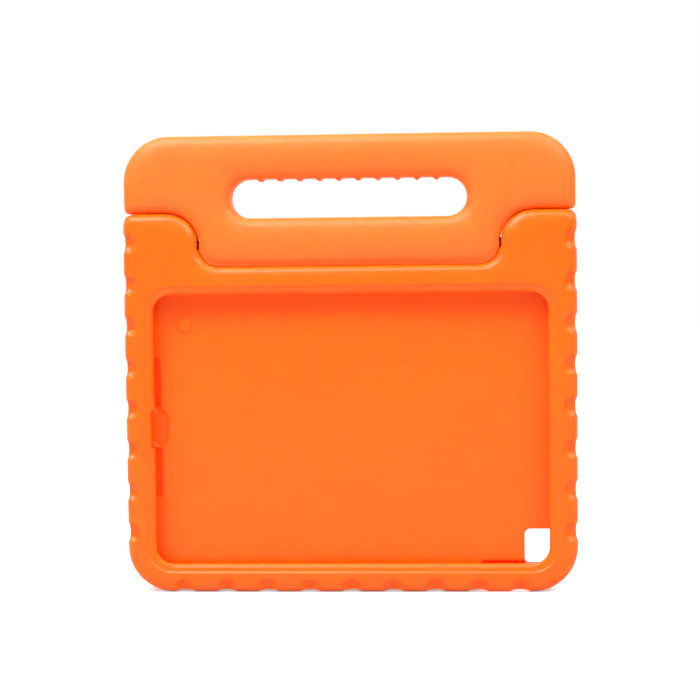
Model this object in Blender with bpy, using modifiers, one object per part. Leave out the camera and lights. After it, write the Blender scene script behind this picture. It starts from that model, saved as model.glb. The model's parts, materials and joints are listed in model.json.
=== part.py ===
# Kids tablet case: a foam tray with a lip, and a carry handle that folds back on two hinge pins.
# The front faces -Y, the handle is at the top, and the case stands on its bottom edge at z = 0.
import math

import bmesh
import bpy
from mathutils import Vector

# Driving dimensions, in metres

# Tablet that the pocket holds
TABLET_LENGTH = 0.240
TABLET_WIDTH = 0.1695
TABLET_THICKNESS = 0.0075
TABLET_CORNER = 0.010
TABLET_CLEARANCE = 0.0005

# Foam tray
SIDE_WALL = 0.0115
BOTTOM_WALL = 0.0108
TOP_WALL = 0.0094
BACK_WALL = 0.0133
LIP_THICKNESS = 0.0038
LIP_OVERLAP_SIDE = 0.0056
LIP_OVERLAP_TOP = 0.0062
LIP_STEP_DEPTH = 0.0012
LIP_STEP_MARGIN = 0.0050
CASE_CORNER = 0.0265
EDGE_ROUND = 0.0060
CURVE_MARGIN = 0.0003

# Shoulders on both sides of the handle's tongue
SHOULDER_WIDTH = 0.0440
SHOULDER_RADIUS = 0.0190
RECESS_RADIUS = 0.0120

# Handle
HANDLE_THICKNESS = 0.0250
HANDLE_INSET = 0.0005
HANDLE_GAP = 0.0006
HANDLE_RISE = 0.0446
HANDLE_CORNER = 0.0265
GRIP_LENGTH = 0.138
GRIP_HEIGHT = 0.0228
GRIP_BAR = 0.0253
RIB_PITCH = 0.0114
RIB_RADIUS = 0.0017
RIB_HEIGHT = 0.0015
RIB_END_MARGIN = 0.0045

# Hinge
PIN_RADIUS = 0.0025
PIN_END_SETBACK = 0.0005
PIN_CHAMFER = 0.0005
BUSH_WALL = 0.0012
BUSH_LENGTH = 0.0170
BUSH_SETBACK = 0.0020
RUNNING_CLEARANCE = 0.0003
SEAT_GAP = 0.0003
SWING_CLEARANCE = 0.0003
HINGE_RELIEF = 0.0020
SWING_ROOM_HEIGHT = 0.0520

# Openings
CAMERA_WIDTH = 0.0165
CAMERA_HEIGHT = 0.0195
CAMERA_FROM_POCKET_SIDE = 0.0025
CAMERA_FROM_POCKET_BOTTOM = 0.0050
CAMERA_CORNER = 0.0030
PORT_WIDTH = 0.0200
PORT_DEPTH_BEHIND_TABLET = 0.0026
PORT_CORNER = 0.0030
PORT_REACH = 0.0070
THUMB_CUT_HEIGHT = 0.0240
THUMB_CUT_IN_LIP = 0.0024
THUMB_CUT_REACH = 0.0072
SPEAKER_LENGTH = 0.0300
SPEAKER_HEIGHT = 0.0052
SPEAKER_FROM_PORT = 0.0266
VOLUME_LENGTH = 0.0270
VOLUME_HEIGHT = 0.0052
VOLUME_FROM_POCKET_SIDE = 0.0315

# Grip dimples round the edge
DIMPLE_LENGTH = 0.0115
DIMPLE_REACH = 0.0080
DIMPLE_DEPTH = 0.0011
DIMPLE_PITCH_SIDE = 0.0242
DIMPLE_PITCH_BOTTOM = 0.02455
DIMPLE_START = 0.0090
DIMPLE_END_MARGIN = 0.0080

# Smoothness of the faceted shapes
CORNER_STEPS = 8
SMALL_CORNER_STEPS = 4
EDGE_RESOLUTION = 2
PIN_SIDES = 24
RIB_SIDES = 12
TROUGH_SIDES = 28
SWING_STEPS = 8
SHARP_ANGLE = 35
WELD_DISTANCE = 0.00001
OVERCUT = 0.002

# Sizes worked out from the driving dimensions
POCKET_LENGTH = TABLET_LENGTH + 2 * TABLET_CLEARANCE
POCKET_HEIGHT = TABLET_WIDTH + 2 * TABLET_CLEARANCE
POCKET_DEPTH = TABLET_THICKNESS + TABLET_CLEARANCE / 2
POCKET_CORNER = TABLET_CORNER + TABLET_CLEARANCE
LIP_DEPTH = LIP_STEP_DEPTH + LIP_THICKNESS
CASE_THICKNESS = LIP_DEPTH + POCKET_DEPTH + BACK_WALL
HALF_WIDTH = POCKET_LENGTH / 2 + SIDE_WALL
HALF_THICKNESS = CASE_THICKNESS / 2
FRONT_Y = -HALF_THICKNESS
POCKET_FRONT_Y = FRONT_Y + LIP_DEPTH
POCKET_FLOOR_Y = POCKET_FRONT_Y + POCKET_DEPTH
POCKET_Z = BOTTOM_WALL + POCKET_HEIGHT / 2
WINDOW_LENGTH = TABLET_LENGTH - 2 * LIP_OVERLAP_SIDE
WINDOW_HEIGHT = TABLET_WIDTH - 2 * LIP_OVERLAP_TOP
WINDOW_CORNER = TABLET_CORNER
RECESS_Z = BOTTOM_WALL + POCKET_HEIGHT + TOP_WALL
SHOULDER_Z = RECESS_Z + RECESS_RADIUS + SHOULDER_RADIUS
SHOULDER_CORNER = EDGE_ROUND + CURVE_MARGIN
TONGUE_HALF = HALF_WIDTH - SHOULDER_WIDTH
RECESS_ARC_X = TONGUE_HALF - RECESS_RADIUS
SHOULDER_ARC_X = TONGUE_HALF + SHOULDER_RADIUS
HINGE_Z = RECESS_Z + HANDLE_GAP + HANDLE_THICKNESS / 2
HANDLE_TOP_Z = SHOULDER_Z + HANDLE_GAP + HANDLE_RISE
GRIP_Z = HANDLE_TOP_Z - GRIP_BAR - GRIP_HEIGHT / 2
BUSH_INNER_RADIUS = PIN_RADIUS + RUNNING_CLEARANCE
BUSH_RADIUS = BUSH_INNER_RADIUS + BUSH_WALL

# Colours, linear, and finish: colour, roughness, metallic
FOAM = ((1.0, 0.238, 0.018, 1.0), 0.55, 0.0)
FOAM_HANDLE = ((1.0, 0.262, 0.030, 1.0), 0.55, 0.0)
NYLON = ((0.055, 0.055, 0.060, 1.0), 0.45, 0.0)
STEEL = ((0.60, 0.60, 0.62, 1.0), 0.30, 1.0)


def clear_scene():
    for old in list(bpy.data.objects):
        bpy.data.objects.remove(old, do_unlink=True)


def new_collection(name):
    group = bpy.data.collections.new(name)
    bpy.context.scene.collection.children.link(group)
    return group


def make_material(name, finish):
    colour, roughness, metallic = finish
    material = bpy.data.materials.new(name)
    material.use_nodes = True
    shader = material.node_tree.nodes["Principled BSDF"]
    shader.inputs["Base Color"].default_value = colour
    shader.inputs["Roughness"].default_value = roughness
    shader.inputs["Metallic"].default_value = metallic
    material.diffuse_color = colour
    return material


def move_to(item, group):
    for old in list(item.users_collection):
        old.objects.unlink(item)
    group.objects.link(item)


def as_cutter(item):
    move_to(item, cutters)
    item.hide_render = True
    item.display_type = "WIRE"
    return item


def as_part(item, finish):
    move_to(item, parts)
    item.data.materials.clear()
    item.data.materials.append(make_material(item.name, finish))
    item.data.shade_smooth()
    item.data.set_sharp_from_angle(angle=math.radians(SHARP_ANGLE))
    return item


# Outlines are lists of (x, z) points, seen from the front

def arc(centre, radius, start, end, steps):
    points = []
    for step in range(steps + 1):
        angle = math.radians(start + (end - start) * step / steps)
        points.append((centre[0] + radius * math.cos(angle), centre[1] + radius * math.sin(angle)))
    return points


def mirrored(half):
    # The right half, from bottom to top, followed by its mirror image from top to bottom
    return half + [(-x, z) for x, z in reversed(half)]


def rounded_rectangle(left, right, bottom, top, radii, steps):
    # The radii are those of the bottom right, top right, top left and bottom left corners
    corners = ((right, bottom, -1, 1, -90), (right, top, -1, -1, 0),
               (left, top, 1, -1, 90), (left, bottom, 1, 1, 180))
    points = []
    for radius, (x, z, side, rise, start) in zip(radii, corners):
        centre = (x + side * radius, z + rise * radius)
        points += arc(centre, radius, start, start + 90, steps)
    return points


def centred_rectangle(length, height, radius, centre_z, steps):
    return rounded_rectangle(-length / 2, length / 2, centre_z - height / 2,
                             centre_z + height / 2, (radius,) * 4, steps)


def case_outline():
    shoulder_x = HALF_WIDTH - SHOULDER_CORNER
    half = arc((HALF_WIDTH - CASE_CORNER, CASE_CORNER), CASE_CORNER, -90, 0, CORNER_STEPS)
    half += arc((shoulder_x, SHOULDER_Z - SHOULDER_CORNER), SHOULDER_CORNER, 0, 90, SMALL_CORNER_STEPS)
    half += arc((SHOULDER_ARC_X, SHOULDER_Z - SHOULDER_RADIUS), SHOULDER_RADIUS, 90, 180, CORNER_STEPS)
    half += arc((RECESS_ARC_X, RECESS_Z + RECESS_RADIUS), RECESS_RADIUS, 0, -90, CORNER_STEPS)[1:]
    return mirrored(half)


def handle_outline():
    half_width = HALF_WIDTH - HANDLE_INSET
    wing_z = SHOULDER_Z + HANDLE_GAP
    tongue_radius = RECESS_RADIUS - HANDLE_GAP
    wing_radius = SHOULDER_RADIUS + HANDLE_GAP
    half = arc((RECESS_ARC_X, RECESS_Z + RECESS_RADIUS), tongue_radius, -90, 0, CORNER_STEPS)
    half += arc((SHOULDER_ARC_X, SHOULDER_Z - SHOULDER_RADIUS), wing_radius, 180, 90, CORNER_STEPS)[1:]
    half += arc((half_width - SHOULDER_CORNER, wing_z + SHOULDER_CORNER), SHOULDER_CORNER, -90, 0,
                SMALL_CORNER_STEPS)
    half += arc((half_width - HANDLE_CORNER, HANDLE_TOP_Z - HANDLE_CORNER), HANDLE_CORNER, 0, 90,
                CORNER_STEPS)
    return mirrored(half)


def grip_outline():
    return centred_rectangle(GRIP_LENGTH, GRIP_HEIGHT, GRIP_HEIGHT / 2 - CURVE_MARGIN, GRIP_Z, CORNER_STEPS)


# Solids

def add_spline(curve, points):
    spline = curve.splines.new("POLY")
    spline.points.add(len(points) - 1)
    for point, (x, z) in zip(spline.points, points):
        point.co = (x, z, 0.0, 1.0)
    spline.use_cyclic_u = True


def plate(name, outlines, front_y, back_y, edge_round=0.0):
    # A flat outline from front_y to back_y; a rounded edge keeps the outline's own size
    curve = bpy.data.curves.new(name, "CURVE")
    curve.dimensions = "2D"
    curve.fill_mode = "BOTH"
    curve.extrude = (back_y - front_y) / 2 - edge_round
    curve.bevel_depth = edge_round
    curve.bevel_resolution = EDGE_RESOLUTION
    curve.offset = -edge_round
    for points in outlines:
        add_spline(curve, points)
    guide = bpy.data.objects.new(name + "_curve", curve)
    guide.location.y = (front_y + back_y) / 2
    guide.rotation_euler.x = math.pi / 2
    parts.objects.link(guide)
    bpy.context.view_layer.update()
    evaluated = guide.evaluated_get(bpy.context.evaluated_depsgraph_get())
    mesh = bpy.data.meshes.new_from_object(evaluated)
    solid = bpy.data.objects.new(name, mesh)
    solid.matrix_world = guide.matrix_world
    bpy.data.objects.remove(guide, do_unlink=True)
    weld(mesh)
    parts.objects.link(solid)
    return solid


def weld(mesh):
    cage = bmesh.new()
    cage.from_mesh(mesh)
    bmesh.ops.remove_doubles(cage, verts=cage.verts, dist=WELD_DISTANCE)
    bmesh.ops.recalc_face_normals(cage, faces=cage.faces)
    cage.to_mesh(mesh)
    cage.free()


def turned(name, profile, sides, closed=False):
    # A profile of (radius, x) points, turned round the hinge axis, which runs along X.
    # It starts half a facet round, so that no facet's edge lies in the planes of the swing's cutter.
    turn = math.pi / sides
    cage = bmesh.new()
    corners = [cage.verts.new((radius * math.cos(turn), radius * math.sin(turn), x))
               for radius, x in profile]
    for first, second in zip(corners, corners[1:]):
        cage.edges.new((first, second))
    if closed:
        cage.edges.new((corners[-1], corners[0]))
    mesh = bpy.data.meshes.new(name)
    cage.to_mesh(mesh)
    cage.free()
    solid = bpy.data.objects.new(name, mesh)
    solid.location = (0.0, 0.0, HINGE_Z)
    solid.rotation_euler.y = math.pi / 2
    screw = solid.modifiers.new("turn", "SCREW")
    screw.steps = sides
    screw.render_steps = sides
    screw.use_merge_vertices = True
    screw.merge_threshold = WELD_DISTANCE
    parts.objects.link(solid)
    return solid


def combine(target, tool, operation="DIFFERENCE"):
    boolean = target.modifiers.new(tool.name, "BOOLEAN")
    boolean.operation = operation
    boolean.solver = "EXACT"
    boolean.object = tool


def cut(target, tool):
    combine(target, as_cutter(tool))


# Cutters of the tray

def cut_pocket(body):
    pocket = centred_rectangle(POCKET_LENGTH, POCKET_HEIGHT, POCKET_CORNER, POCKET_Z, SMALL_CORNER_STEPS)
    window = centred_rectangle(WINDOW_LENGTH, WINDOW_HEIGHT, WINDOW_CORNER, POCKET_Z, CORNER_STEPS)
    margin = 2 * LIP_STEP_MARGIN
    step = centred_rectangle(WINDOW_LENGTH + margin, WINDOW_HEIGHT + margin,
                             WINDOW_CORNER + LIP_STEP_MARGIN, POCKET_Z, CORNER_STEPS)
    cut(body, plate("pocket_cutter", [pocket], POCKET_FRONT_Y, POCKET_FLOOR_Y))
    cut(body, plate("window_cutter", [window], FRONT_Y - OVERCUT, POCKET_FRONT_Y + POCKET_DEPTH / 2))
    cut(body, plate("step_cutter", [step], FRONT_Y - OVERCUT, FRONT_Y + LIP_STEP_DEPTH))


def cut_camera_hole(body):
    right = POCKET_LENGTH / 2 - CAMERA_FROM_POCKET_SIDE
    bottom = BOTTOM_WALL + CAMERA_FROM_POCKET_BOTTOM
    hole = rounded_rectangle(right - CAMERA_WIDTH, right, bottom, bottom + CAMERA_HEIGHT,
                             (CAMERA_CORNER,) * 4, SMALL_CORNER_STEPS)
    cut(body, plate("camera_cutter", [hole], POCKET_FLOOR_Y - POCKET_DEPTH / 2, HALF_THICKNESS + OVERCUT))


def cut_thumb_cut(body):
    # Rounded notch in the lip and in the floor, by the home button and the charging port
    window_edge = -WINDOW_LENGTH / 2
    inner = THUMB_CUT_REACH - CURVE_MARGIN
    outer = THUMB_CUT_IN_LIP - CURVE_MARGIN
    outline = rounded_rectangle(window_edge - THUMB_CUT_IN_LIP, window_edge + THUMB_CUT_REACH,
                                POCKET_Z - THUMB_CUT_HEIGHT / 2, POCKET_Z + THUMB_CUT_HEIGHT / 2,
                                (inner, inner, outer, outer), SMALL_CORNER_STEPS)
    cut(body, plate("thumb_cutter", [outline], FRONT_Y - OVERCUT, POCKET_FLOOR_Y + PORT_DEPTH_BEHIND_TABLET))


def wall_slot(name, first_y, last_y, centre_z, length, radius, reach):
    # A rounded bar along X, through the left wall and as far as the reach into the pocket
    outline = rounded_rectangle(-length / 2, length / 2, first_y, last_y, (radius,) * 4,
                                SMALL_CORNER_STEPS)
    outer = -SIDE_WALL - OVERCUT
    slot = plate(name, [outline], outer, reach)
    slot.rotation_euler = (0.0, math.pi / 2, 0.0)
    slot.location = ((outer + reach - POCKET_LENGTH) / 2, 0.0, centre_z)
    return slot


def cut_side_slots(body):
    tablet_y = POCKET_FRONT_Y + POCKET_DEPTH / 2
    cut(body, wall_slot("port_cutter", POCKET_FRONT_Y + TABLET_CLEARANCE,
                        POCKET_FLOOR_Y + PORT_DEPTH_BEHIND_TABLET - TABLET_CLEARANCE, POCKET_Z,
                        PORT_WIDTH, PORT_CORNER, PORT_REACH))
    for side in (-1, 1):
        cut(body, wall_slot("speaker_cutter", tablet_y - SPEAKER_HEIGHT / 2,
                            tablet_y + SPEAKER_HEIGHT / 2, POCKET_Z + side * SPEAKER_FROM_PORT,
                            SPEAKER_LENGTH, SPEAKER_HEIGHT / 2 - CURVE_MARGIN, OVERCUT))


def cut_volume_slot(body):
    right = POCKET_LENGTH / 2 - VOLUME_FROM_POCKET_SIDE + VOLUME_LENGTH / 2
    tablet_y = POCKET_FRONT_Y + POCKET_DEPTH / 2
    outline = rounded_rectangle(right - VOLUME_LENGTH, right, -VOLUME_HEIGHT / 2, VOLUME_HEIGHT / 2,
                                (VOLUME_HEIGHT / 2 - CURVE_MARGIN,) * 4, SMALL_CORNER_STEPS)
    slot = plate("volume_cutter", [outline], -BOTTOM_WALL / 2 - OVERCUT, BOTTOM_WALL / 2 + OVERCUT)
    slot.rotation_euler = (0.0, 0.0, 0.0)
    slot.location = (0.0, tablet_y, BOTTOM_WALL / 2)
    cut(body, slot)


def dimple_plates():
    # Flat plates with round inner ends, one at each dimple, standing out past the tray's edge
    half = DIMPLE_LENGTH / 2
    inner = HALF_WIDTH - DIMPLE_REACH
    outer = HALF_WIDTH + OVERCUT
    round_end = half - CURVE_MARGIN
    outlines = []
    height = CASE_CORNER + DIMPLE_START
    while height < SHOULDER_Z - SHOULDER_CORNER - DIMPLE_END_MARGIN:
        right = rounded_rectangle(inner, outer, height - half, height + half,
                                  (CURVE_MARGIN, CURVE_MARGIN, round_end, round_end), SMALL_CORNER_STEPS)
        outlines += [right, [(-x, z) for x, z in right]]
        height += DIMPLE_PITCH_SIDE
    reach = HALF_WIDTH - CASE_CORNER - half
    count = int(reach / DIMPLE_PITCH_BOTTOM)
    for index in range(-count, count + 1):
        x = index * DIMPLE_PITCH_BOTTOM
        outlines.append(rounded_rectangle(x - half, x + half, -OVERCUT, DIMPLE_REACH,
                                          (CURVE_MARGIN, round_end, round_end, CURVE_MARGIN),
                                          SMALL_CORNER_STEPS))
    return plate("dimple_cutter", outlines, FRONT_Y - OVERCUT, HALF_THICKNESS + OVERCUT)


def cut_dimples(body):
    # The plates lose a core that is smaller than the tray by the dimples' depth
    core = rounded_rectangle(-HALF_WIDTH + DIMPLE_DEPTH, HALF_WIDTH - DIMPLE_DEPTH, DIMPLE_DEPTH,
                             SHOULDER_Z, (CASE_CORNER - DIMPLE_DEPTH, SHOULDER_CORNER, SHOULDER_CORNER,
                                          CASE_CORNER - DIMPLE_DEPTH), CORNER_STEPS)
    inner = plate("dimple_core", [core], FRONT_Y + DIMPLE_DEPTH, HALF_THICKNESS - DIMPLE_DEPTH,
                  EDGE_ROUND - DIMPLE_DEPTH)
    plates = dimple_plates()
    combine(plates, as_cutter(inner))
    cut(body, plates)


# Room for the handle's swing

def tongue_reach():
    # Farthest point of the tongue's rounded section from the hinge axis
    flat = HANDLE_THICKNESS / 2 - EDGE_ROUND
    return math.hypot(flat, flat) + EDGE_ROUND


def cut_hinge_room(body):
    # Round trough in which the tongue turns, with a blunt nose and a bush's seat at each end
    radius = tongue_reach() + HANDLE_GAP
    seat = BUSH_RADIUS + SEAT_GAP
    seat_end = bush_span(1, inward=False)[1] + SEAT_GAP
    nose = (RECESS_RADIUS + HINGE_RELIEF) / radius
    start = math.degrees(math.acos(seat / radius))
    right = [(0.0, seat_end), (seat, seat_end)]
    right += [(r, RECESS_ARC_X + nose * x) for r, x in arc((0, 0), radius, start, 0, CORNER_STEPS)]
    profile = right + [(r, -x) for r, x in reversed(right)]
    cut(body, turned("hinge_room_cutter", profile, TROUGH_SIDES))


def cut_swing_room(body):
    # The handle's lower outline, turned back through a quarter circle, and then as deep as the handle
    radius = SHOULDER_RADIUS - SWING_CLEARANCE
    arc_z = SHOULDER_Z - SHOULDER_RADIUS - HINGE_Z
    half = [(x, z) for x, z in arc((SHOULDER_ARC_X, arc_z), radius, 180, 90, CORNER_STEPS)
            if z > 2 * SWING_CLEARANCE]
    outer = HALF_WIDTH + OVERCUT
    half = [(half[0][0], SWING_CLEARANCE)] + half
    half += [(outer, half[-1][1]), (outer, SWING_ROOM_HEIGHT)]
    cage = bmesh.new()
    corners = [cage.verts.new((x, 0.0, HINGE_Z + z)) for x, z in mirrored(half)]
    start = cage.faces.new(corners)
    turn = bmesh.ops.spin(cage, geom=[start], cent=(0.0, 0.0, HINGE_Z), axis=(1.0, 0.0, 0.0),
                          angle=-math.pi / 2, steps=SWING_STEPS, use_duplicate=False)
    last = [item for item in turn["geom_last"] if isinstance(item, bmesh.types.BMFace)]
    lower = bmesh.ops.extrude_face_region(cage, geom=last)
    moved = [item for item in lower["geom"] if isinstance(item, bmesh.types.BMVert)]
    depth = HINGE_Z - RECESS_Z + SWING_CLEARANCE
    bmesh.ops.translate(cage, verts=moved, vec=Vector((0.0, 0.0, -depth)))
    bmesh.ops.delete(cage, geom=last, context="FACES_ONLY")
    bmesh.ops.recalc_face_normals(cage, faces=cage.faces)
    mesh = bpy.data.meshes.new("swing_cutter")
    cage.to_mesh(mesh)
    cage.free()
    room = bpy.data.objects.new("swing_cutter", mesh)
    parts.objects.link(room)
    cut(body, room)


# Hinge

def bush_span(side, inward):
    # Ends of a bush, along X: inward in the tongue, otherwise in the shoulder
    near = TONGUE_HALF + (-BUSH_SETBACK if inward else BUSH_SETBACK)
    far = near + (-BUSH_LENGTH if inward else BUSH_LENGTH)
    return sorted((side * near, side * far))


def cut_tongue_seat(handle, name, side):
    first, last = bush_span(side, inward=True)
    if side > 0:
        first, last = first - SEAT_GAP, last + BUSH_SETBACK + OVERCUT
    else:
        first, last = first - BUSH_SETBACK - OVERCUT, last + SEAT_GAP
    radius = BUSH_RADIUS + SEAT_GAP
    seat = turned(name, [(0.0, last), (radius, last), (radius, first), (0.0, first)], PIN_SIDES)
    cut(handle, seat)


def make_bush(name, side, inward):
    first, last = bush_span(side, inward)
    profile = [(BUSH_RADIUS, last), (BUSH_RADIUS, first), (BUSH_INNER_RADIUS, first),
               (BUSH_INNER_RADIUS, last)]
    return as_part(turned(name, profile, PIN_SIDES, closed=True), NYLON)


def make_pin(name, side):
    middle = side * TONGUE_HALF
    reach = BUSH_SETBACK + BUSH_LENGTH - PIN_END_SETBACK
    first = middle - reach
    last = middle + reach
    tip = PIN_RADIUS - PIN_CHAMFER
    profile = [(0.0, last), (tip, last), (PIN_RADIUS, last - PIN_CHAMFER),
               (PIN_RADIUS, first + PIN_CHAMFER), (tip, first), (0.0, first)]
    return as_part(turned(name, profile, PIN_SIDES), STEEL)


# Foam pieces

def make_case():
    body = as_part(plate("case_body", [case_outline()], FRONT_Y, HALF_THICKNESS, EDGE_ROUND), FOAM)
    cut_pocket(body)
    cut_camera_hole(body)
    cut_thumb_cut(body)
    cut_side_slots(body)
    cut_volume_slot(body)
    cut_dimples(body)
    cut_hinge_room(body)
    cut_swing_room(body)
    return body


def add_ribs(handle):
    # Finger ribs under the bar, each a rod sunk into the top of the hand hole
    top = GRIP_Z + GRIP_HEIGHT / 2
    length = HANDLE_THICKNESS - 2 * RIB_END_MARGIN
    count = int((GRIP_LENGTH - GRIP_HEIGHT) / RIB_PITCH)
    for index in range(count):
        x = (index - (count - 1) / 2) * RIB_PITCH
        bpy.ops.mesh.primitive_cylinder_add(vertices=RIB_SIDES, radius=RIB_RADIUS, depth=length,
                                            location=(x, 0.0, top - RIB_HEIGHT + RIB_RADIUS),
                                            rotation=(math.pi / 2, 0.0, 0.0))
        rib = bpy.context.object
        rib.name = "rib_%02d" % index
        combine(handle, as_cutter(rib), "UNION")


def make_handle():
    half = HANDLE_THICKNESS / 2
    handle = as_part(plate("handle", [handle_outline(), grip_outline()], -half, half, EDGE_ROUND),
                     FOAM_HANDLE)
    add_ribs(handle)
    for side, word in ((-1, "left"), (1, "right")):
        cut_tongue_seat(handle, "tongue_seat_" + word, side)
    return handle


def make_hinge():
    for side, word in ((-1, "left"), (1, "right")):
        make_bush("shoulder_bush_" + word, side, inward=False)
        make_bush("tongue_bush_" + word, side, inward=True)
        make_pin("hinge_pin_" + word, side)


clear_scene()
parts = new_collection("kids_tablet_case")
cutters = new_collection("cutters")
make_case()
make_handle()
make_hinge()
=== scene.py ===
# Kids tablet case: a moulded EVA tray and a folding carry handle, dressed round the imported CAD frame.
# The front faces -Y, the handle is at the top, and everything is in metres in the frame's own place.
import json
import math

import bmesh
import bpy
from mathutils import Matrix, Vector


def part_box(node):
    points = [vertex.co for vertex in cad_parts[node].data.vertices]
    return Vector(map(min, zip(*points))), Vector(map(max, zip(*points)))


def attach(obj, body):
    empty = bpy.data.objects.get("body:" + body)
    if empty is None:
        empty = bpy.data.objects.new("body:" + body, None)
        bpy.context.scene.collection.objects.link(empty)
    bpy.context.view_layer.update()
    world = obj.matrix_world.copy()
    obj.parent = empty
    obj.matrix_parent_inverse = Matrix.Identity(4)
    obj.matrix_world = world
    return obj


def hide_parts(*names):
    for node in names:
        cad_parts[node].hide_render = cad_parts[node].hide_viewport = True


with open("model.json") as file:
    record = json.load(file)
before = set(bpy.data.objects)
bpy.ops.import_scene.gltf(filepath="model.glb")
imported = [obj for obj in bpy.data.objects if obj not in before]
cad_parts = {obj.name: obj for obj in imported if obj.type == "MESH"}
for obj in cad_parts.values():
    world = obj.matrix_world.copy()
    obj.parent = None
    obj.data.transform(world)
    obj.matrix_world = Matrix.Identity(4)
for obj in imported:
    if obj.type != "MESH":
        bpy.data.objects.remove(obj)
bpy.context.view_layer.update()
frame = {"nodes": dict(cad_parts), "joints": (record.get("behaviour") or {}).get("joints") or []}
print("frame loaded", sorted(frame["nodes"]))

bodyLow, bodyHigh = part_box("case_body")
handleLow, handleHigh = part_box("handle")
hingeZ = frame["joints"][0]["pos_m"][2]


# Small helpers that every piece uses

kit = dict(
    slack=0.00002, weld=0.00001, beside=0.0001, sharp=math.radians(60), flat=math.radians(1),
    smoothing=0.5, roundSides=48, cornerSteps=10,
)


def deselectAll():
    if bpy.context.object and bpy.context.object.mode != "OBJECT":
        bpy.ops.object.mode_set(mode="OBJECT")
    bpy.ops.object.select_all(action="DESELECT")


def pick(piece):
    deselectAll()
    piece.select_set(True)
    bpy.context.view_layer.objects.active = piece


def block(name, low, high):  # a primitive cube at its size and place
    deselectAll()
    centre = [(a + b) / 2 for a, b in zip(low, high)]
    bpy.ops.mesh.primitive_cube_add(size=1, location=centre, scale=[b - a for a, b in zip(low, high)])
    piece = bpy.context.object
    piece.name = name
    settle(piece)
    return piece


def settle(piece):  # its place goes into its mesh
    pick(piece)
    bpy.ops.object.transform_apply(location=True, rotation=True, scale=True)


def choose(piece, kind, test):
    # Leaves the piece in edit mode with the verts, edges or faces selected whose corners pass the test
    pick(piece)
    bpy.ops.object.mode_set(mode="EDIT")
    bpy.ops.mesh.select_mode(type=kind)
    bpy.ops.mesh.select_all(action="DESELECT")
    cage = bmesh.from_edit_mesh(piece.data)
    items = {"VERT": cage.verts, "EDGE": cage.edges, "FACE": cage.faces}[kind]
    for item in items:
        corners = [item.co] if kind == "VERT" else [corner.co for corner in item.verts]
        if test(corners):
            item.select = True
    cage.select_flush_mode()
    bmesh.update_edit_mesh(piece.data)


def leaveEdit():
    bpy.ops.object.mode_set(mode="OBJECT")


def near(a, b):
    return abs(a - b) < kit["slack"]


def allNear(corners, axis, value):
    return all(near(corner[axis], value) for corner in corners)


def bisect(piece, point, normal, clearOuter=False):
    pick(piece)
    bpy.ops.object.mode_set(mode="EDIT")
    bpy.ops.mesh.select_all(action="SELECT")
    bpy.ops.mesh.bisect(plane_co=point, plane_no=normal, clear_outer=clearOuter, use_fill=clearOuter)
    leaveEdit()


def cleanFlats(piece):  # drops the edges that cross a flat face
    pick(piece)
    bpy.ops.object.mode_set(mode="EDIT")
    bpy.ops.mesh.select_all(action="SELECT")
    bpy.ops.mesh.dissolve_limited(angle_limit=kit["flat"])
    leaveEdit()


def weld(threshold, outward=False):  # of the whole mesh that is in edit mode
    bpy.ops.mesh.select_all(action="SELECT")
    bpy.ops.mesh.remove_doubles(threshold=threshold)
    if outward:
        bpy.ops.mesh.normals_make_consistent(inside=False)
    leaveEdit()


def roundUprights(piece, corners, radius, steps):
    # Rounds the edges that run from front to back at these (x, z) corners
    def upright(points):
        x, z = points[0].x, points[0].z
        return allNear(points, 0, x) and allNear(points, 2, z) and any(
            near(x, cx) and near(z, cz) for cx, cz in corners)
    choose(piece, "EDGE", upright)
    bpy.ops.mesh.bevel(offset=radius, segments=steps, profile=0.5, clamp_overlap=False)
    weld(kit["slack"])


def roundRims(piece, levels, radius, steps):
    # Rounds the rims of the flat front and back faces, whose y is in levels
    pick(piece)
    bpy.ops.object.mode_set(mode="EDIT")
    bpy.ops.mesh.select_mode(type="EDGE")
    bpy.ops.mesh.select_all(action="DESELECT")
    cage = bmesh.from_edit_mesh(piece.data)
    for edge in cage.edges:
        onLevel = any(all(near(corner.co.y, level) for corner in edge.verts) for level in levels)
        if onLevel and len(edge.link_faces) == 2 and edge.calc_face_angle(0) > kit["sharp"]:
            edge.select = True
    bmesh.update_edit_mesh(piece.data)
    bpy.ops.mesh.bevel(offset=radius, segments=steps, profile=0.5, clamp_overlap=False)
    leaveEdit()


def applyModifier(piece, kind, **settings):
    pick(piece)
    modifier = piece.modifiers.new(kind.lower(), kind)
    for name, value in settings.items():
        setattr(modifier, name, value)
    bpy.ops.object.modifier_apply(modifier=modifier.name)


def carve(piece, tool, operation="DIFFERENCE", solver="MANIFOLD"):
    applyModifier(piece, "BOOLEAN", operation=operation, object=tool, solver=solver)
    bpy.data.objects.remove(tool, do_unlink=True)


def joinAll(pieces):
    pick(pieces[0])
    for piece in pieces:
        piece.select_set(True)
    bpy.ops.object.join()
    return bpy.context.object


def copyOf(piece, name):
    twin = piece.copy()
    twin.data = piece.data.copy()
    twin.name = name
    bpy.context.scene.collection.objects.link(twin)
    return twin


def roundBar(name, radius, low, high, axis, sides):  # a cylinder along x, y or z between two points
    deselectAll()
    turn = {0: (0, math.pi / 2, 0), 1: (math.pi / 2, 0, 0), 2: (0, 0, 0)}[axis]
    middle = [(a + b) / 2 for a, b in zip(low, high)]
    bpy.ops.mesh.primitive_cylinder_add(vertices=sides, radius=radius, depth=high[axis] - low[axis],
                                        location=middle, rotation=turn)
    bar = bpy.context.object
    bar.name = name
    settle(bar)
    return bar


def triangles(piece):
    return sum(len(face.vertices) - 2 for face in piece.data.polygons)


# The tray: one moulded piece with the pocket, the lip, the shoulders and the dimples

# The seam between tray and handle is an S at each side, drawn by two arcs of one height
seamShape = dict(
    arcZ=0.2027, recessArcX=0.0760, shoulderArcX=0.1070, recessRadius=0.0120, shoulderRadius=0.0190,
    handleGap=0.0006, closer=0.00026, recessSteps=12, shoulderSteps=14,
)

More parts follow.
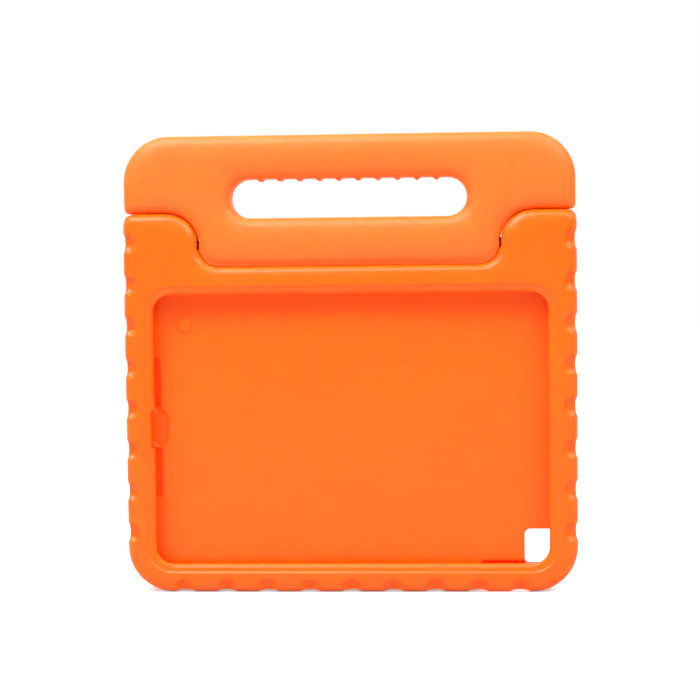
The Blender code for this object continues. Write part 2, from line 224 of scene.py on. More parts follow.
trayShape = dict(
    bottomCorner=0.0265, cornerSteps=18, edgeRound=0.0060, edgeSteps=8,
    cornerReach=0.0060, cornerTurns=30,
    softVoxel=0.0012, softTurns=60, voxel=0.0005, smoothTurns=3, keep=0.155,
    discPlace=(-0.0975, 0.1567), discRadius=0.0040, discProud=0.0015,
)

pocketShape = dict(
    middleZ=0.09605, halfLength=0.1205, halfHeight=0.08525, frontY=-0.008025, floorY=-0.000275,
    corner=0.0105, windowX=0.0002, windowZ=0.09555, windowHalfLength=0.1151, windowHalfHeight=0.0790,
    windowCorner=0.0100, stepMargin=0.0049, stepY=-0.01235, lipMargin=0.0017, bandY=-0.01160,
    lipY=-0.00980, out=0.0030,
)

cutShape = dict(
    cameraLow=(0.1012, 0.0143), cameraHigh=(0.1185, 0.0355), cameraFromY=-0.004, cameraCorner=0.0030,
    thumbLow=(-0.1164, 0.0849), thumbHigh=(-0.1083, 0.1072), thumbFloorY=0.0012,
    thumbInner=0.0066, thumbOuter=0.0021, notchFlare=0.0010,
    portHalf=0.0100, portY=(-0.007525, 0.0012), portEndX=-0.1135, portCorner=0.0030,
    speakerHalf=0.0150, speakerY=(-0.00675, 0.0009), speakerFromPort=0.0266,
    scoopX=-0.1184, scoopRadius=0.0070, scoopDeepY=0.0030,
    volumeX=(0.0755, 0.1025), volumeY=(-0.00675, 0.0012), volumeTopZ=0.0166, slotCorner=0.0023,
)

dimpleShape = dict(
    halfHeight=0.0058, halfDepth=0.0014, lift=0.00020, turn=math.radians(67), turnSteps=10,
    endFromEdge=0.0035, endLength=0.0046, endDepth=0.0039, firstZ=0.0355, pitchSide=0.0242, countSide=8,
    pitchBottom=0.02455, countBottom=4,
)

hingeRoom = dict(
    radius=0.01579, nose=0.0140, seatRadius=0.0043, seatEnd=0.1073,
    swingRise=0.0520, clearance=0.0003, swingSteps=16, swingOver=0.002, ballSides=72,
    slitX=(0.0874, 0.0887), slitY=(-0.0160, -0.0005), slitHalf=0.0036, slitCorner=0.0006,
)


def makeTrayBlock():
    s, seam = trayShape, seamShape
    recessRadius = seam["recessRadius"] - seam["closer"]
    shoulderRadius = seam["shoulderRadius"] + seam["closer"]
    recessZ, top = seam["arcZ"] - recessRadius, seam["arcZ"] + shoulderRadius
    wide, inner = bodyHigh.x, seam["recessArcX"] + recessRadius
    tray = block("moulded_tray", (bodyLow.x, bodyLow.y, 0.0), (bodyHigh.x, bodyHigh.y, recessZ))
    for side in (-1, 1):
        bisect(tray, (side * inner, 0, 0), (1, 0, 0))
    choose(tray, "FACE", lambda points: allNear(points, 2, recessZ)
           and abs(sum(point.x for point in points)) > inner)
    bpy.ops.mesh.extrude_region_move(TRANSFORM_OT_translate={"value": (0, 0, top - recessZ)})
    leaveEdit()
    cleanFlats(tray)
    roundUprights(tray, [(-wide, 0.0), (wide, 0.0)], s["bottomCorner"], s["cornerSteps"])
    roundUprights(tray, [(-inner, top), (inner, top)], shoulderRadius, seam["shoulderSteps"])
    roundUprights(tray, [(-inner, recessZ), (inner, recessZ)], recessRadius - kit["weld"],
                  seam["recessSteps"])
    roundRims(tray, (bodyLow.y, bodyHigh.y), s["edgeRound"], s["edgeSteps"])
    return tray


def easeCorners(piece, corners, reach, turns):
    # Rounds by hand, with repeated smoothing, the upright edges at these (x, z) corners
    def close(points):
        return any(math.hypot(points[0].x - x, points[0].z - z) < reach for x, z in corners)
    choose(piece, "VERT", close)
    bpy.ops.mesh.vertices_smooth(factor=kit["smoothing"], repeat=turns)
    leaveEdit()


def prism(name, low, high, corners=(), axis=1):
    # A block whose edges along one axis are rounded; corners are (sideA, sideB, radius)
    piece = block(name, low, high)
    a, b = [k for k in range(3) if k != axis]
    for sideA, sideB, radius in corners:
        atA = high[a] if sideA > 0 else low[a]
        atB = high[b] if sideB > 0 else low[b]
        choose(piece, "EDGE", lambda points: allNear(points, a, atA) and allNear(points, b, atB))
        bpy.ops.mesh.bevel(offset=radius, segments=kit["cornerSteps"], profile=0.5, clamp_overlap=False)
        leaveEdit()
    return piece


def allFour(radius):
    return [(-1, -1, radius), (-1, 1, radius), (1, -1, radius), (1, 1, radius)]


def cutPocket(tray):
    s = pocketShape
    low = (-s["halfLength"], s["frontY"], s["middleZ"] - s["halfHeight"])
    high = (s["halfLength"], s["floorY"], s["middleZ"] + s["halfHeight"])
    carve(tray, prism("pocket", low, high, allFour(s["corner"])))
    frontY = bodyLow.y - s["out"]
    halfLength, halfHeight = s["windowHalfLength"], s["windowHalfHeight"]
    low = (s["windowX"] - halfLength, frontY, s["windowZ"] - halfHeight)
    high = (s["windowX"] + halfLength, s["floorY"] - s["lipMargin"], s["windowZ"] + halfHeight)
    carve(tray, prism("window", low, high, allFour(s["windowCorner"])))
    # Round the window a small step, a band that slopes inwards, and the eased edge of the lip
    margin = s["stepMargin"]
    low = (low[0] - margin, frontY, low[2] - margin)
    high = (high[0] + margin, s["stepY"], high[2] + margin)
    band = prism("window_band", low, high, allFour(s["windowCorner"] + margin))
    choose(band, "FACE", lambda points: allNear(points, 1, s["stepY"]))
    fromY = s["stepY"]
    for nextMargin, toY in ((s["lipMargin"], s["bandY"]), (0, s["lipY"])):
        bpy.ops.mesh.extrude_region_move(TRANSFORM_OT_translate={"value": (0, toY - fromY, 0)})
        bpy.ops.transform.resize(value=((halfLength + nextMargin) / (halfLength + margin), 1,
                                        (halfHeight + nextMargin) / (halfHeight + margin)))
        margin, fromY = nextMargin, toY
    leaveEdit()
    carve(tray, band)


def makeSpeakerTool(middle):
    # A slot through the wall that runs out in a shallow scoop on the pocket's floor
    s = cutShape
    axisY = s["scoopDeepY"] - s["scoopRadius"]
    scoop = roundBar("speaker_scoop", s["scoopRadius"], (s["scoopX"], axisY, middle - s["speakerHalf"]),
                     (s["scoopX"], axisY, middle + s["speakerHalf"]), 2, 2 * kit["roundSides"])
    bisect(scoop, (0, s["speakerY"][0], 0), (0, -1, 0), clearOuter=True)
    low = (bodyLow.x - pocketShape["out"], s["speakerY"][0], middle - s["speakerHalf"])
    high = (s["scoopX"], s["speakerY"][1], middle + s["speakerHalf"])
    carve(scoop, prism("speaker", low, high, allFour(s["slotCorner"]), axis=0), "UNION")
    return scoop


def cutOpenings(tray):
    s, p = cutShape, pocketShape
    out = p["out"]
    cameraLow = (s["cameraLow"][0], s["cameraFromY"], s["cameraLow"][1])
    cameraHigh = (s["cameraHigh"][0], bodyHigh.y + out, s["cameraHigh"][1])
    carve(tray, prism("camera", cameraLow, cameraHigh, allFour(s["cameraCorner"])))
    thumbLow = (s["thumbLow"][0], bodyLow.y - out, s["thumbLow"][1])
    thumbHigh = (s["thumbHigh"][0], s["thumbFloorY"], s["thumbHigh"][1])
    thumbCorners = [(-1, -1, s["thumbOuter"]), (-1, 1, s["thumbOuter"]),
                    (1, -1, s["thumbInner"]), (1, 1, s["thumbInner"])]
    thumb = prism("thumb", thumbLow, thumbHigh, thumbCorners)
    choose(thumb, "FACE", lambda points: allNear(points, 1, thumbLow[1]))
    flare = s["notchFlare"]  # the notch in the lip opens towards the front
    bpy.ops.transform.resize(value=(1 + 2 * flare / (thumbHigh[0] - thumbLow[0]), 1,
                                    1 + 2 * flare / (thumbHigh[2] - thumbLow[2])))
    leaveEdit()
    carve(tray, thumb)
    portLow = (bodyLow.x - out, s["portY"][0], p["middleZ"] - s["portHalf"])
    portHigh = (s["portEndX"], s["portY"][1], p["middleZ"] + s["portHalf"])
    carve(tray, prism("port", portLow, portHigh, allFour(s["portCorner"]), axis=0))
    for side in (-1, 1):
        carve(tray, makeSpeakerTool(p["middleZ"] + side * s["speakerFromPort"]))
    low = (s["volumeX"][0], s["volumeY"][0], -out)
    high = (s["volumeX"][1], s["volumeY"][1], s["volumeTopZ"])
    carve(tray, prism("volume", low, high, allFour(s["slotCorner"]), axis=2))


def makeDimple():
    # A flattened bar swept round the tray's rounded edges at z = 0, with a flattened ball at each end
    s = dimpleShape
    flat = bodyHigh.y - trayShape["edgeRound"]
    pivotX = bodyHigh.x - trayShape["edgeRound"]
    deselectAll()
    bpy.ops.mesh.primitive_circle_add(vertices=kit["roundSides"], radius=1, fill_type="NGON",
                                      location=(bodyHigh.x + s["lift"], -flat, 0),
                                      rotation=(math.pi / 2, 0, 0))
    tube = bpy.context.object
    tube.name = "dimple"
    tube.scale = (s["halfDepth"], s["halfHeight"], 1)
    settle(tube)
    bpy.ops.object.mode_set(mode="EDIT")
    bpy.ops.mesh.select_all(action="SELECT")
    bpy.ops.mesh.extrude_region_move(TRANSFORM_OT_translate={"value": (0, 2 * flat, 0)})
    for end, direction in ((flat, 1), (-flat, -1)):
        leaveEdit()
        choose(tube, "FACE", lambda points: allNear(points, 1, end) and len(points) == kit["roundSides"])
        bpy.ops.mesh.spin(steps=s["turnSteps"], angle=-direction * s["turn"], center=(pivotX, end, 0),
                          axis=(0, 0, 1))
    weld(kit["weld"], outward=True)
    for direction in (-1, 1):
        place = (bodyHigh.x - s["endFromEdge"], direction * (bodyHigh.y + s["lift"]), 0)
        deselectAll()
        bpy.ops.mesh.primitive_uv_sphere_add(
            segments=kit["roundSides"], ring_count=kit["roundSides"] // 2, radius=1, location=place,
            scale=(s["endLength"], s["endDepth"], s["halfHeight"]))
        end = bpy.context.object
        settle(end)
        carve(tube, end, "UNION")
    return tube


def cutDimples(tray):
    s = dimpleShape
    model = makeDimple()
    tools = []
    for index in range(s["countSide"]):
        height = s["firstZ"] + index * s["pitchSide"]
        for side in (-1, 1):
            tool = copyOf(model, "dimple_side")
            tool.matrix_world = Matrix.Translation((0, 0, height)) @ Matrix.Rotation(
                0 if side > 0 else math.pi, 4, "Z")
            tools.append(tool)
    lower = Matrix.Translation((0, 0, bodyHigh.x)) @ Matrix.Rotation(math.pi / 2, 4, "Y")
    for index in range(-s["countBottom"], s["countBottom"] + 1):
        tool = copyOf(model, "dimple_bottom")
        tool.matrix_world = Matrix.Translation((index * s["pitchBottom"], 0, 0)) @ lower
        tools.append(tool)
    bpy.data.objects.remove(model, do_unlink=True)
    for tool in tools:
        settle(tool)
    carve(tray, joinAll(tools))


def longBall(name, radius, nose):  # a ball along the hinge, pulled out to a bar with two noses
    deselectAll()
    sides = hingeRoom["ballSides"]
    bpy.ops.mesh.primitive_uv_sphere_add(segments=sides, ring_count=sides // 2, radius=1,
                                         location=(0, 0, hingeZ), rotation=(0, math.pi / 2, 0),
                                         scale=(radius, radius, nose))
    ball = bpy.context.object
    ball.name = name
    settle(ball)
    for side in (-1, 1):
        choose(ball, "VERT", lambda points: side * points[0].x > kit["beside"])
        bpy.ops.transform.translate(value=(side * seamShape["recessArcX"], 0, 0))
        leaveEdit()
    return ball


def makeHingeRoom():
    # The trough in which the handle's tongue turns, and the seats of the bushes
    s = hingeRoom
    room = longBall("hinge_room", s["radius"], s["nose"])
    end = s["seatEnd"]
    seats = roundBar("bush_seats", s["seatRadius"], (-end, 0, hingeZ), (end, 0, hingeZ), 0,
                     kit["roundSides"])
    carve(room, seats, "UNION")
    return room


def cutSlits(piece):  # beside each pin the seam stands a little open
    s = hingeRoom
    for side in (-1, 1):
        x = sorted(side * value for value in s["slitX"])
        low = (x[0], s["slitY"][0], hingeZ - s["slitHalf"])
        high = (x[1], s["slitY"][1], hingeZ + s["slitHalf"])
        carve(piece, prism("slit", low, high, allFour(s["slitCorner"])))


def makeSwingRoom():
    # The handle's lower outline, turned back through a quarter circle round the hinge
    s, seam = hingeRoom, seamShape
    radius = seam["shoulderRadius"] - s["clearance"]
    middle = seam["arcZ"]
    floorZ = middle + radius
    inner = seam["shoulderArcX"] - radius
    wide = bodyHigh.x + s["swingOver"]
    deselectAll()
    bpy.ops.mesh.primitive_plane_add(size=1, location=(0, 0, (floorZ + hingeZ + s["swingRise"]) / 2),
                                     rotation=(math.pi / 2, 0, 0))
    room = bpy.context.object
    room.name = "swing_room"
    room.scale = (2 * wide, hingeZ + s["swingRise"] - floorZ, 1)
    settle(room)
    for side in (-1, 1):
        bisect(room, (side * inner, 0, 0), (1, 0, 0))
    choose(room, "EDGE", lambda points: allNear(points, 2, floorZ)
           and all(abs(point.x) < inner + kit["beside"] for point in points))
    bpy.ops.mesh.extrude_region_move(TRANSFORM_OT_translate={"value": (0, 0, middle - floorZ)})
    leaveEdit()
    cleanFlats(room)
    choose(room, "VERT", lambda points: near(abs(points[0].x), inner) and near(points[0].z, floorZ))
    bpy.ops.mesh.bevel(offset=radius, segments=s["swingSteps"], profile=0.5, affect="VERTICES",
                       clamp_overlap=False)
    weld(kit["weld"])
    startZ = hingeZ + s["clearance"]
    bisect(room, (0, 0, startZ), (0, 0, -1), clearOuter=True)
    pick(room)
    bpy.ops.object.mode_set(mode="EDIT")
    bpy.ops.mesh.select_all(action="SELECT")
    bpy.ops.mesh.spin(steps=s["swingSteps"], angle=math.pi / 2, center=(0, 0, hingeZ), axis=(1, 0, 0))
    depth = hingeZ - middle + seam["recessRadius"] + s["clearance"]
    bpy.ops.mesh.extrude_region_move(TRANSFORM_OT_translate={"value": (0, 0, -depth)})
    weld(kit["weld"], outward=True)
    return room


def soften(piece, voxel, turns, onlyDepth=False):
    # An even skin over the whole form, with its edges eased as a mould leaves them
    applyModifier(piece, "TRIANGULATE")
    applyModifier(piece, "REMESH", mode="VOXEL", voxel_size=voxel, adaptivity=0)
    applyModifier(piece, "SMOOTH", factor=kit["smoothing"], iterations=turns, use_x=not onlyDepth,
                  use_y=True, use_z=not onlyDepth)


def thin(piece, share):
    applyModifier(piece, "DECIMATE", decimate_type="COLLAPSE", ratio=share)
    pick(piece)
    bpy.ops.object.shade_smooth()


def addDisc(tray):  # the round mark that the mould's ejector leaves on the floor
    s = trayShape
    x, z = s["discPlace"]
    floorY = pocketShape["floorY"]
    disc = roundBar("mould_disc", s["discRadius"], (x, floorY - s["discProud"], z),
                    (x, floorY + s["discProud"], z), 1, kit["roundSides"])
    carve(tray, disc, "UNION")


def makeTray():
    s, seam = trayShape, seamShape
    tray = makeTrayBlock()
    soften(tray, s["softVoxel"], s["softTurns"], onlyDepth=True)
    top = seam["arcZ"] + seam["shoulderRadius"] + seam["closer"]
    easeCorners(tray, [(-bodyHigh.x, top), (bodyHigh.x, top)], s["cornerReach"], s["cornerTurns"])
    cutPocket(tray)
    addDisc(tray)
    cutOpenings(tray)
    cutDimples(tray)
    carve(tray, makeHingeRoom())
    carve(tray, makeSwingRoom())
    cutSlits(tray)
    soften(tray, s["voxel"], s["smoothTurns"])
    thin(tray, s["keep"])
    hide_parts("case_body")
    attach(tray, "case")
    print("tray", triangles(tray), "triangles")
    return tray


# The carry handle: one moulded piece with the hand hole, its finger ribs and the tongue

handleShape = dict(
    edgeRound=0.0060, edgeSteps=8, topCorner=0.0265, cornerSteps=18, cornerReach=0.0030, cornerTurns=6,
    softVoxel=0.0012, softTurns=260, voxel=0.0006, smoothTurns=4, keep=0.50,
    keelRadius=0.01545, keelNose=0.0136, keelHalfDepth=0.0086,
)

gripShape = dict(
    halfLength=0.0690, halfDepth=0.0200, lowZ=0.2188, highZ=0.2416, corner=0.0112,
    ribRadius=0.0017, ribHeight=0.0015, ribPitch=0.0114, ribCount=10, ribLength=0.0130,
    bushSeat=0.0043, seatInner=0.0687, seatOuter=0.0900,
)


def makeHandleBlock():
    s, seam = handleShape, seamShape
    gap = seam["handleGap"] - seam["closer"]
    tongueRadius, hollowRadius = seam["recessRadius"] - gap, seam["shoulderRadius"] + gap
    low, wingZ = seam["arcZ"] - tongueRadius, seam["arcZ"] + hollowRadius
    inner = seam["recessArcX"] + tongueRadius
    handle = block("carry_handle_foam", (handleLow.x, handleLow.y, wingZ), handleHigh)
    for side in (-1, 1):
        bisect(handle, (side * inner, 0, 0), (1, 0, 0))
    choose(handle, "FACE", lambda points: allNear(points, 2, wingZ)
           and all(abs(point.x) < inner + kit["beside"] for point in points))
    bpy.ops.mesh.extrude_region_move(TRANSFORM_OT_translate={"value": (0, 0, low - wingZ)})
    leaveEdit()
    cleanFlats(handle)
    bisect(handle, (0, 0, 0), (1, 0, 0))  # so that no face has a hole in it
    g = gripShape
    hole = prism("hand_hole", (-g["halfLength"], -g["halfDepth"], g["lowZ"]),
                 (g["halfLength"], g["halfDepth"], g["highZ"]), allFour(g["corner"]))
    carve(handle, hole, solver="EXACT")
    wide, top = handleHigh.x, handleHigh.z
    roundUprights(handle, [(-wide, top), (wide, top)], s["topCorner"], s["cornerSteps"])
    roundUprights(handle, [(-inner, low), (inner, low)], tongueRadius, seam["recessSteps"])
    roundUprights(handle, [(-inner, wingZ), (inner, wingZ)], hollowRadius - kit["weld"],
                  seam["shoulderSteps"])
    roundRims(handle, (handleLow.y, handleHigh.y), s["edgeRound"], s["edgeSteps"])
    return handle


def addRibs(handle):
    g = gripShape
    ribZ = g["highZ"] - g["ribHeight"] + g["ribRadius"]
    model = roundBar("finger_rib", g["ribRadius"], (0, -g["ribLength"] / 2, ribZ),
                     (0, g["ribLength"] / 2, ribZ), 1, kit["roundSides"] // 2)
    ribs = []
    for index in range(g["ribCount"]):
        rib = copyOf(model, "finger_rib")
        rib.location.x = (index - (g["ribCount"] - 1) / 2) * g["ribPitch"]
        settle(rib)
        ribs.append(rib)
    bpy.data.objects.remove(model, do_unlink=True)
    carve(handle, joinAll(ribs), "UNION")


def addKeel(handle):
    # The tongue's rounded end, which turns in the tray's trough and closes it to the light
    s = handleShape
    keel = longBall("tongue_keel", s["keelRadius"], s["keelNose"])
    for side in (-1, 1):
        bisect(keel, (0, side * s["keelHalfDepth"], 0), (0, side, 0), clearOuter=True)
    bisect(keel, (0, 0, hingeZ), (0, 0, 1), clearOuter=True)
    carve(handle, keel, "UNION")


def cutBushSeats(handle):
    g = gripShape
    for side in (-1, 1):
        x = sorted((side * g["seatInner"], side * g["seatOuter"]))
        carve(handle, roundBar("bush_seat", g["bushSeat"], (x[0], 0, hingeZ), (x[1], 0, hingeZ), 0,
                               kit["roundSides"]))


def makeHandle():
    s, seam = handleShape, seamShape
    handle = makeHandleBlock()
    soften(handle, s["softVoxel"], s["softTurns"], onlyDepth=True)
    wingZ = seam["arcZ"] + seam["shoulderRadius"] + seam["handleGap"] - seam["closer"]
    easeCorners(handle, [(-handleHigh.x, wingZ), (handleHigh.x, wingZ)], s["cornerReach"],
                s["cornerTurns"])
    addRibs(handle)
    addKeel(handle)
    cutBushSeats(handle)
    cutSlits(handle)
    soften(handle, s["voxel"], s["smoothTurns"])
    thin(handle, s["keep"])
    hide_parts("handle")
    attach(handle, "carry_handle")
    print("handle", triangles(handle), "triangles")
    return handle


# Materials

def linear(hexColour):  # an sRGB hex colour as linear RGBA
    parts = [int(hexColour[k:k + 2], 16) / 255 for k in (1, 3, 5)]
    return [c / 12.92 if c <= 0.04045 else ((c + 0.055) / 1.055) ** 2.4 for c in parts] + [1.0]


def addNode(tree, kind, settings=None, **sockets):
    # A socket, by its name or as i and its number, gets a value or the output that feeds it
    node = tree.nodes.new(kind)
    for name, value in (settings or {}).items():
        setattr(node, name, value)
    for name, value in sockets.items():
        byNumber = name[0] == "i" and name[1:].isdigit()
        socket = node.inputs[int(name[1:]) if byNumber else name]
        if isinstance(value, bpy.types.NodeSocket):
            tree.links.new(value, socket)
        else:
            socket.default_value = value
    return node


def addBump(tree, height, bump, **sockets):  # bump is its strength and its height in metres
    return addNode(tree, "ShaderNodeBump", Height=height, Strength=bump[0], Distance=bump[1], **sockets)


def newMaterial(name):
    material = bpy.data.materials.new(name)
    material.use_nodes = True
    return material, material.node_tree, material.node_tree.nodes["Principled BSDF"]


# The handle's orange is a shade paler than the tray's: partly a separate moulding, partly painted sheen
# standing in for the peach cast that the light from above gives the handle
foamFinish = dict(
    trayHex="#FF6604", trayDeepHex="#FF6002", handleHex="#FF6E0C", handleDeepHex="#FF6806",
    cloud=45.0, grain=1.4, wave=60.0, trayRoughness=0.35, handleRoughness=0.52,
    traySpecular=0.32, handleSpecular=0.50, sheenSpread=(-0.04, 0.06), waveBump=(0.12, 0.004),
    grainBump=(0.10, 0.0003), ior=1.48, depth=0.012, glow=0.8, glowRadius=(1.0, 0.12, 0.03),
)
# The steel's two tones are darker than bare steel: painted shade for the pins, which are seen only down
# the shaded seam beside the handle
steelFinish = dict(
    lowHex="#7E7B77", highHex="#A3A09C", across=2500.0, along=40.0, roughness=(0.22, 0.38),
    bump=(0.2, 0.00005),
)
nylonFinish = dict(
    lowHex="#2A2A2C", highHex="#3A3A3C", grain=0.4, roughness=0.5, ior=1.53, bump=(0.2, 0.00005),
)


def foamMaterial(name, kind):  # kind is tray or handle
    # Closed-cell EVA foam, pressed in a heated mould: a satin skin with faint clouds of colour,
    # a fine pebbled grain and slow waves where the foam has relaxed after moulding
    f = foamFinish
    roughness = f[kind + "Roughness"]
    material, tree, shader = newMaterial(name)
    place = addNode(tree, "ShaderNodeTexCoord").outputs["Object"]
    cloud = addNode(tree, "ShaderNodeTexNoise", Vector=place, Scale=1000 / f["cloud"], Detail=3.0)
    tint = addNode(tree, "ShaderNodeMix", {"data_type": "RGBA"}, Factor=cloud.outputs["Fac"],
                   i6=linear(f[kind + "DeepHex"]), i7=linear(f[kind + "Hex"]))
    wave = addNode(tree, "ShaderNodeTexNoise", Vector=place, Scale=1000 / f["wave"], Detail=1.0)
    grain = addNode(tree, "ShaderNodeTexNoise", Vector=place, Scale=1000 / f["grain"], Detail=2.0)
    slow = addBump(tree, wave.outputs["Fac"], f["waveBump"])
    fine = addBump(tree, grain.outputs["Fac"], f["grainBump"], Normal=slow.outputs["Normal"])
    rough = addNode(tree, "ShaderNodeMapRange", Value=cloud.outputs["Fac"],
                    i3=roughness + f["sheenSpread"][0], i4=roughness + f["sheenSpread"][1])
    tree.links.new(tint.outputs[2], shader.inputs["Base Color"])
    tree.links.new(fine.outputs["Normal"], shader.inputs["Normal"])
    tree.links.new(rough.outputs[0], shader.inputs["Roughness"])
    shader.inputs["IOR"].default_value = f["ior"]
    shader.inputs["Specular IOR Level"].default_value = f[kind + "Specular"]
    shader.inputs["Subsurface Weight"].default_value = f["glow"]
    shader.inputs["Subsurface Radius"].default_value = f["glowRadius"]
    shader.inputs["Subsurface Scale"].default_value = f["depth"]
    return material


def steelMaterial():
    # Cold-drawn mild steel with fine lines along it; its colour is kept darker than bare steel, as
    # painted shade for the pin that shows only deep in the shaded seam
    f = steelFinish
    material, tree, shader = newMaterial("drawn steel")
    place = addNode(tree, "ShaderNodeTexCoord").outputs["Object"]
    along = addNode(tree, "ShaderNodeMapping", Vector=place,
                    Scale=(f["along"], f["across"], f["across"]))
    lines = addNode(tree, "ShaderNodeTexNoise", Vector=along.outputs["Vector"], Scale=1.0, Detail=2.0)
    tint = addNode(tree, "ShaderNodeMix", {"data_type": "RGBA"}, Factor=lines.outputs["Fac"],
                   i6=linear(f["lowHex"]), i7=linear(f["highHex"]))
    rough = addNode(tree, "ShaderNodeMapRange", Value=lines.outputs["Fac"], i3=f["roughness"][0],
                    i4=f["roughness"][1])
    bump = addBump(tree, lines.outputs["Fac"], f["bump"])
    tree.links.new(tint.outputs[2], shader.inputs["Base Color"])
    tree.links.new(rough.outputs[0], shader.inputs["Roughness"])
    tree.links.new(bump.outputs["Normal"], shader.inputs["Normal"])
    shader.inputs["Metallic"].default_value = 1.0
    return material


def nylonMaterial():
    # Injection-moulded nylon: a dull black with a faint spark-eroded grain
    f = nylonFinish
    material, tree, shader = newMaterial("moulded nylon")
    place = addNode(tree, "ShaderNodeTexCoord").outputs["Object"]
    grain = addNode(tree, "ShaderNodeTexNoise", Vector=place, Scale=1000 / f["grain"], Detail=2.0)
    tint = addNode(tree, "ShaderNodeMix", {"data_type": "RGBA"}, Factor=grain.outputs["Fac"],
                   i6=linear(f["lowHex"]), i7=linear(f["highHex"]))
    bump = addBump(tree, grain.outputs["Fac"], f["bump"])
    tree.links.new(tint.outputs[2], shader.inputs["Base Color"])
    tree.links.new(bump.outputs["Normal"], shader.inputs["Normal"])
    shader.inputs["Roughness"].default_value = f["roughness"]
    shader.inputs["IOR"].default_value = f["ior"]
    return material


def dressHinge():
    steel, nylon = steelMaterial(), nylonMaterial()
    for name, node in frame["nodes"].items():
        if name.startswith("hinge_pin"):
            node.material_slots[0].material = steel
        elif "bush" in name:
            node.material_slots[0].material = nylon


# Stage, light and camera

stage = dict(
    floorSize=8.0, floorHex="#F7F6F4", floorGlow=0.46, floorBounceHex="#CCC9C5",
    floorZ=-0.0003, skyTop=0.48, skySide=0.07, skyLow=0.04, skyBehind=0.85, skyBlend=0.3,
    keyPower=25.5, keySize=0.8, keyPlace=(-0.75, -0.85, 1.55),
    fillPower=27.5, fillSize=0.8, fillPlace=(1.10, -0.85, 1.45),
    topPower=27.0, topSize=1.4, topPlace=(-0.45, -0.55, 1.50), aim=(0.0, 0.0, 0.14),
)


def makeFloor():
    deselectAll()
    bpy.ops.mesh.primitive_plane_add(size=stage["floorSize"], location=(0, 0, stage["floorZ"]))
    floor = bpy.context.object
    floor.name = "floor"
    material = bpy.data.materials.new("matt white paper")
    material.use_nodes = True
    tree = material.node_tree
    tree.nodes.clear()
    seen = addNode(tree, "ShaderNodeLightPath").outputs["Is Camera Ray"]
    paper = addNode(tree, "ShaderNodeBsdfDiffuse", Color=linear(stage["floorHex"]))
    glow = addNode(tree, "ShaderNodeEmission", Color=(1, 1, 1, 1), Strength=stage["floorGlow"])
    bright = addNode(tree, "ShaderNodeAddShader", i0=paper.outputs[0], i1=glow.outputs[0])
    bounce = addNode(tree, "ShaderNodeBsdfDiffuse", Color=linear(stage["floorBounceHex"]))
    mixed = addNode(tree, "ShaderNodeMixShader", Fac=seen, i1=bounce.outputs[0], i2=bright.outputs[0])
    addNode(tree, "ShaderNodeOutputMaterial", Surface=mixed.outputs[0])
    floor.data.materials.append(material)


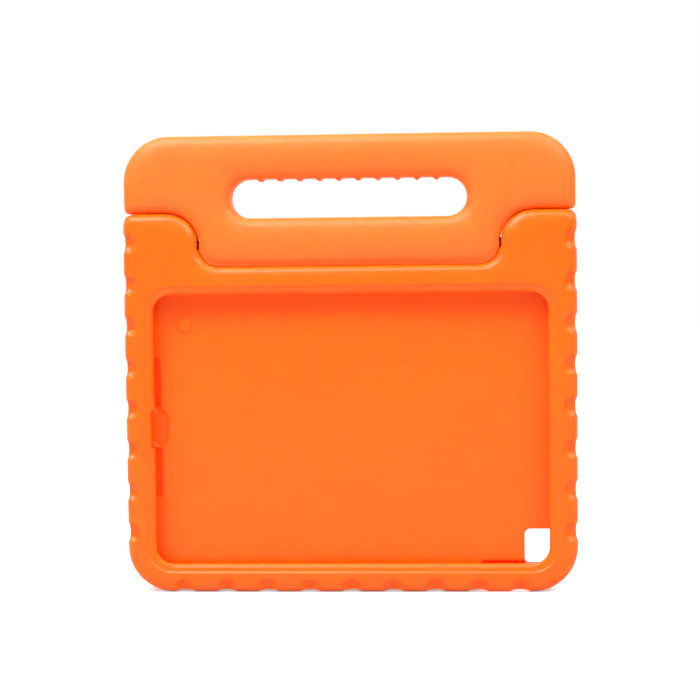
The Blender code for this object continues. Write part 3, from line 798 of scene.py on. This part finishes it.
def makeSky():
    # Dim on the camera's side and bright behind the object, where a studio has its white backdrop
    world = bpy.data.worlds.new("studio")
    bpy.context.scene.world = world
    world.use_nodes = True
    tree = world.node_tree
    tree.nodes.clear()
    direction = addNode(tree, "ShaderNodeTexCoord").outputs["Generated"]
    axes = addNode(tree, "ShaderNodeSeparateXYZ", Vector=direction).outputs
    above = addNode(tree, "ShaderNodeMapRange", Value=axes["Z"], i1=0.0, i2=1.0, i3=stage["skySide"],
                    i4=stage["skyTop"])
    below = addNode(tree, "ShaderNodeMapRange", Value=axes["Z"], i1=-1.0, i2=0.0, i3=stage["skyLow"],
                    i4=stage["skySide"])
    up = addNode(tree, "ShaderNodeMath", {"operation": "GREATER_THAN"}, i0=axes["Z"], i1=0.0)
    front = addNode(tree, "ShaderNodeMix", {"data_type": "FLOAT"}, i0=up.outputs[0],
                    i2=below.outputs[0], i3=above.outputs[0])
    behind = addNode(tree, "ShaderNodeMapRange", Value=axes["Y"], i1=0.0, i2=stage["skyBlend"],
                     i3=0.0, i4=1.0)
    level = addNode(tree, "ShaderNodeMix", {"data_type": "FLOAT"}, i0=behind.outputs[0],
                    i2=front.outputs[0], i3=stage["skyBehind"])
    # Mirrored or seen through, the backdrop is as white as the camera sees it
    path = addNode(tree, "ShaderNodeLightPath").outputs
    mirrored = addNode(tree, "ShaderNodeMath", {"operation": "MAXIMUM"}, i0=path["Is Glossy Ray"],
                       i1=path["Is Transmission Ray"])
    backdrop = addNode(tree, "ShaderNodeMath", {"operation": "MULTIPLY"}, i0=mirrored.outputs[0],
                       i1=behind.outputs[0])
    white = addNode(tree, "ShaderNodeMath", {"operation": "MAXIMUM"}, i0=path["Is Camera Ray"],
                    i1=backdrop.outputs[0])
    strength = addNode(tree, "ShaderNodeMix", {"data_type": "FLOAT"}, i0=white.outputs[0],
                       i2=level.outputs[0], i3=1.0)
    sky = addNode(tree, "ShaderNodeBackground", Color=(1, 1, 1, 1), Strength=strength.outputs[0])
    addNode(tree, "ShaderNodeOutputWorld", Surface=sky.outputs[0])


def makeLamp(name, place, size, power):
    lamp = bpy.data.lights.new(name, "AREA")
    lamp.shape = "SQUARE"
    lamp.size = size
    lamp.energy = power
    item = bpy.data.objects.new(name, lamp)
    bpy.context.scene.collection.objects.link(item)
    item.location = place
    item.rotation_euler = (Vector(stage["aim"]) - Vector(place)).to_track_quat("-Z", "Y").to_euler()


cameraFit = dict(
    target=(0.0, 0.0, 0.134), distance=1.1, azimuth=3.84, elevation=2.96, roll=0.645,
    focalPixels=1875.3, centrePixel=(350.5, 362.3), pictureSize=700, sensor=36.0, clip=(0.05, 50.0),
)


def makeCamera():
    c = cameraFit
    a, e = math.radians(c["azimuth"]), math.radians(c["elevation"])
    back = Vector((math.sin(a) * math.cos(e), -math.cos(a) * math.cos(e), math.sin(e)))
    lens = bpy.data.cameras.new("camera")
    camera = bpy.data.objects.new("camera", lens)
    bpy.context.scene.collection.objects.link(camera)
    camera.location = Vector(c["target"]) + back * c["distance"]
    upright = (-back).to_track_quat("-Z", "Y").to_matrix()
    camera.rotation_euler = (upright @ Matrix.Rotation(-math.radians(c["roll"]), 3, "Z")).to_euler()
    half = c["pictureSize"] / 2
    lens.sensor_width = c["sensor"]
    lens.lens = c["focalPixels"] / c["pictureSize"] * lens.sensor_width
    lens.shift_x = (half - c["centrePixel"][0]) / c["pictureSize"]
    lens.shift_y = (c["centrePixel"][1] - half) / c["pictureSize"]
    lens.clip_start, lens.clip_end = c["clip"]
    bpy.context.scene.camera = camera


makeCamera()
makeFloor()
makeSky()
for name in ("key", "fill", "top"):
    makeLamp(name, stage[name + "Place"], stage[name + "Size"], stage[name + "Power"])
bpy.context.scene.view_settings.view_transform = "Standard"
print("stage ready")

tray = makeTray()
handle = makeHandle()
for piece, kind in ((tray, "tray"), (handle, "handle")):
    piece.data.materials.clear()
    piece.data.materials.append(foamMaterial("pressed EVA foam, " + kind, kind))
dressHinge()
print("materials done")
